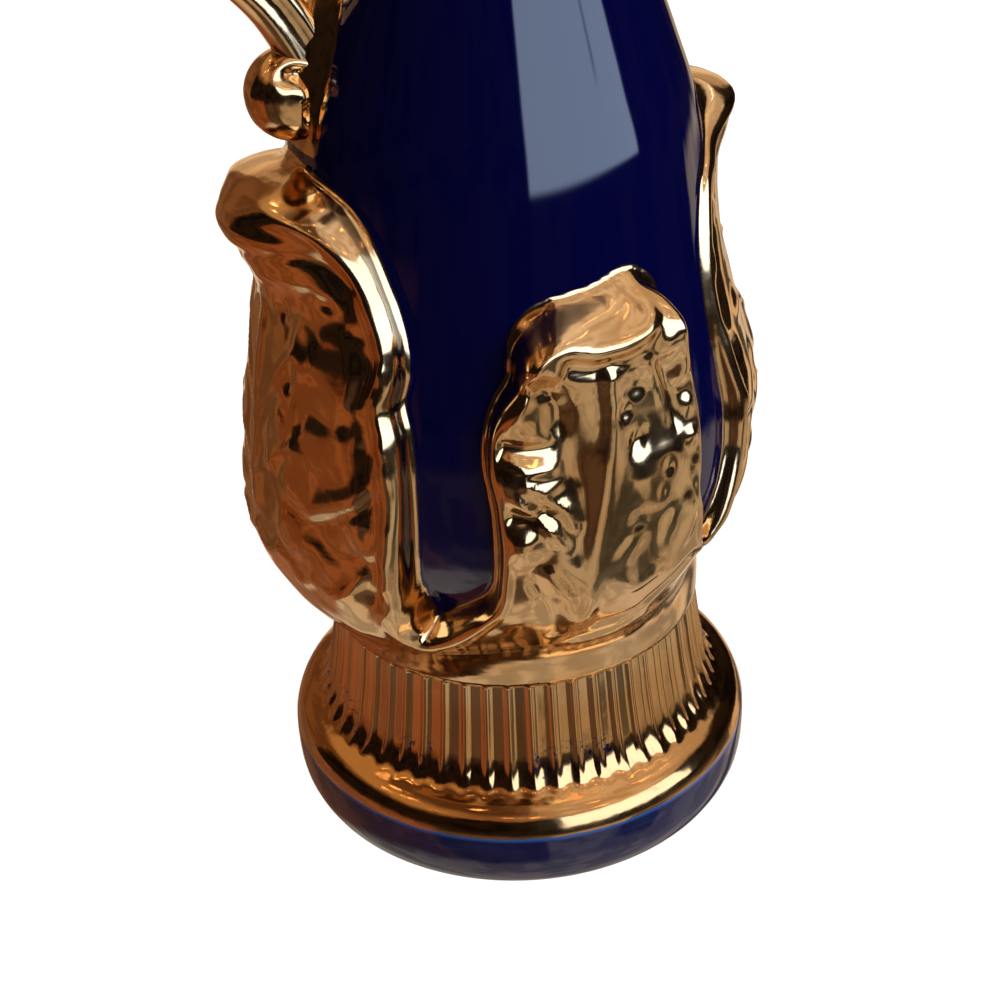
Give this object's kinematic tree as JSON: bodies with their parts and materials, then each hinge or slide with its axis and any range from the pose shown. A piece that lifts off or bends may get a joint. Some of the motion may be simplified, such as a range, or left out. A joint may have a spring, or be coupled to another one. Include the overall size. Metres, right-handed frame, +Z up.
{
  "type": "pitcher vase",
  "caption": "Tall hollow ceramic pitcher vase with a leaf-wrapped bowl on a fluted foot, slender neck, pouring spout and a scroll handle",
  "frame": {"origin": "centre of the box's underside, on the surface the vase stands on; the foot's axis is at x = 15.2 mm", "axes": "+X towards the spout, -X towards the handle, +Z up"},
  "size_m": [0.14, 0.1126, 0.3338],
  "materials": {
    "cobalt_glaze": "deep cobalt blue gloss glaze over a fired ceramic body",
    "gold_lustre": "thin bright gold lustre fired on the glaze of the leaves, foot and handle"
  },
  "bodies": {
    "root": {"pitcher_vase": "cobalt_glaze"}
  },
  "joints": []
}
